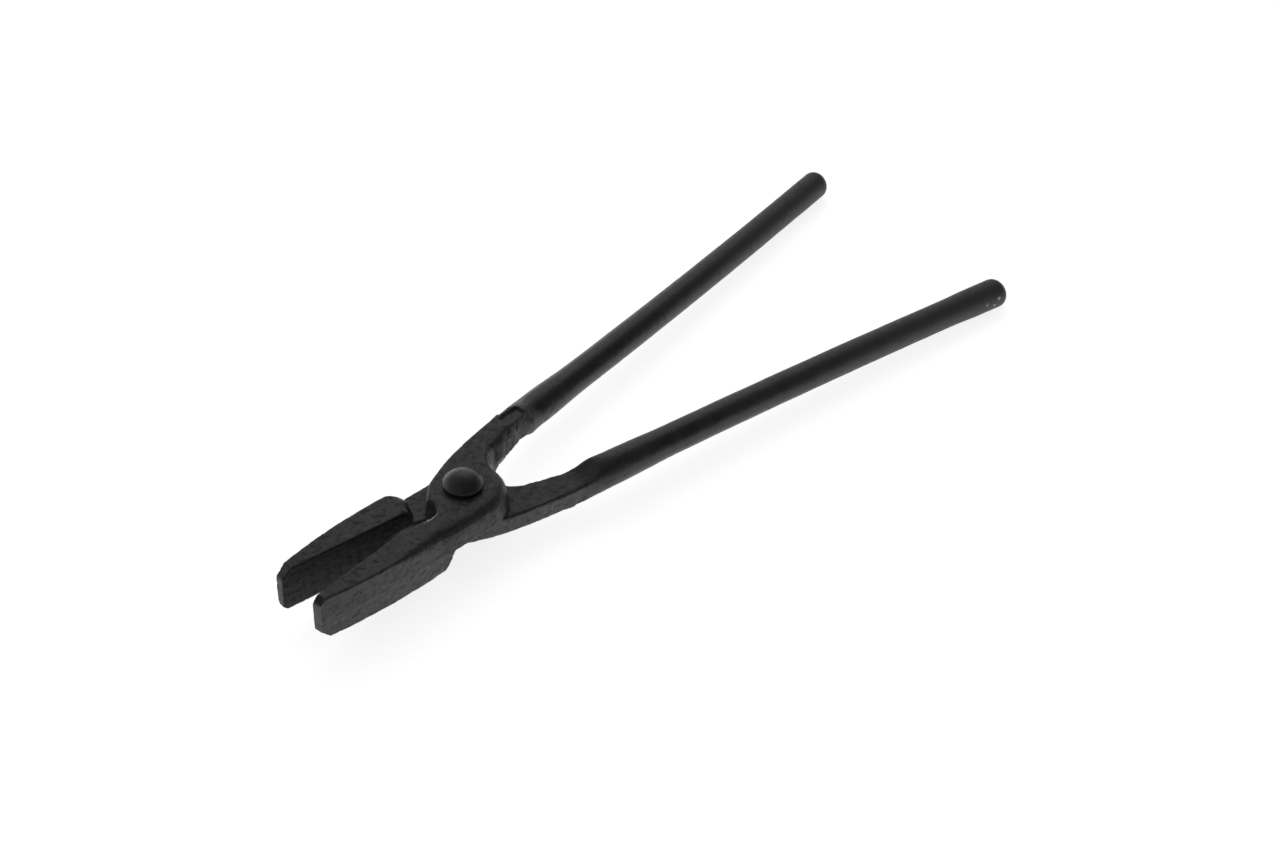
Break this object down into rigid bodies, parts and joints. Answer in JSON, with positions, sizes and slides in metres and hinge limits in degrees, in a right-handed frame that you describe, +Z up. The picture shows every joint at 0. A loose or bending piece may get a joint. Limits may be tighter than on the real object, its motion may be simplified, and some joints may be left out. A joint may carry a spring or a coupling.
{
  "type": "blacksmith tongs",
  "caption": "Forged steel flat-jaw blacksmith tongs: two alike halves with long round reins, crossing at a half-lapped boss and turning on a round-headed rivet.",
  "frame": {"origin": "middle of the bottom of the bounding box, on the surface the tongs lie on", "axes": "+X towards the rein ends, jaws at -X, +Z up from the surface; the rivet axis leans 2.51 degrees from +Z towards +X because the tongs lie on the lower rivet head and the two rein ends"},
  "size_m": [0.3928, 0.134, 0.0391],
  "materials": {
    "forged_steel": "black forge scale, semi-matt, lightly pitted",
    "rivet_steel": "black forge scale, satin, smooth domed head"
  },
  "bodies": {
    "fixed_half": {"lower_half": "forged_steel", "rivet": "rivet_steel"},
    "swinging_half": {"upper_half": "forged_steel"}
  },
  "joints": [
    {"name": "rivet_hinge", "type": "hinge", "parent": "fixed_half", "child": "swinging_half", "pos_m": [-0.10093, 0, 0.01958], "axis": [0.0437, 0, 0.999], "range_deg": [-12.3, 85]}
  ]
}
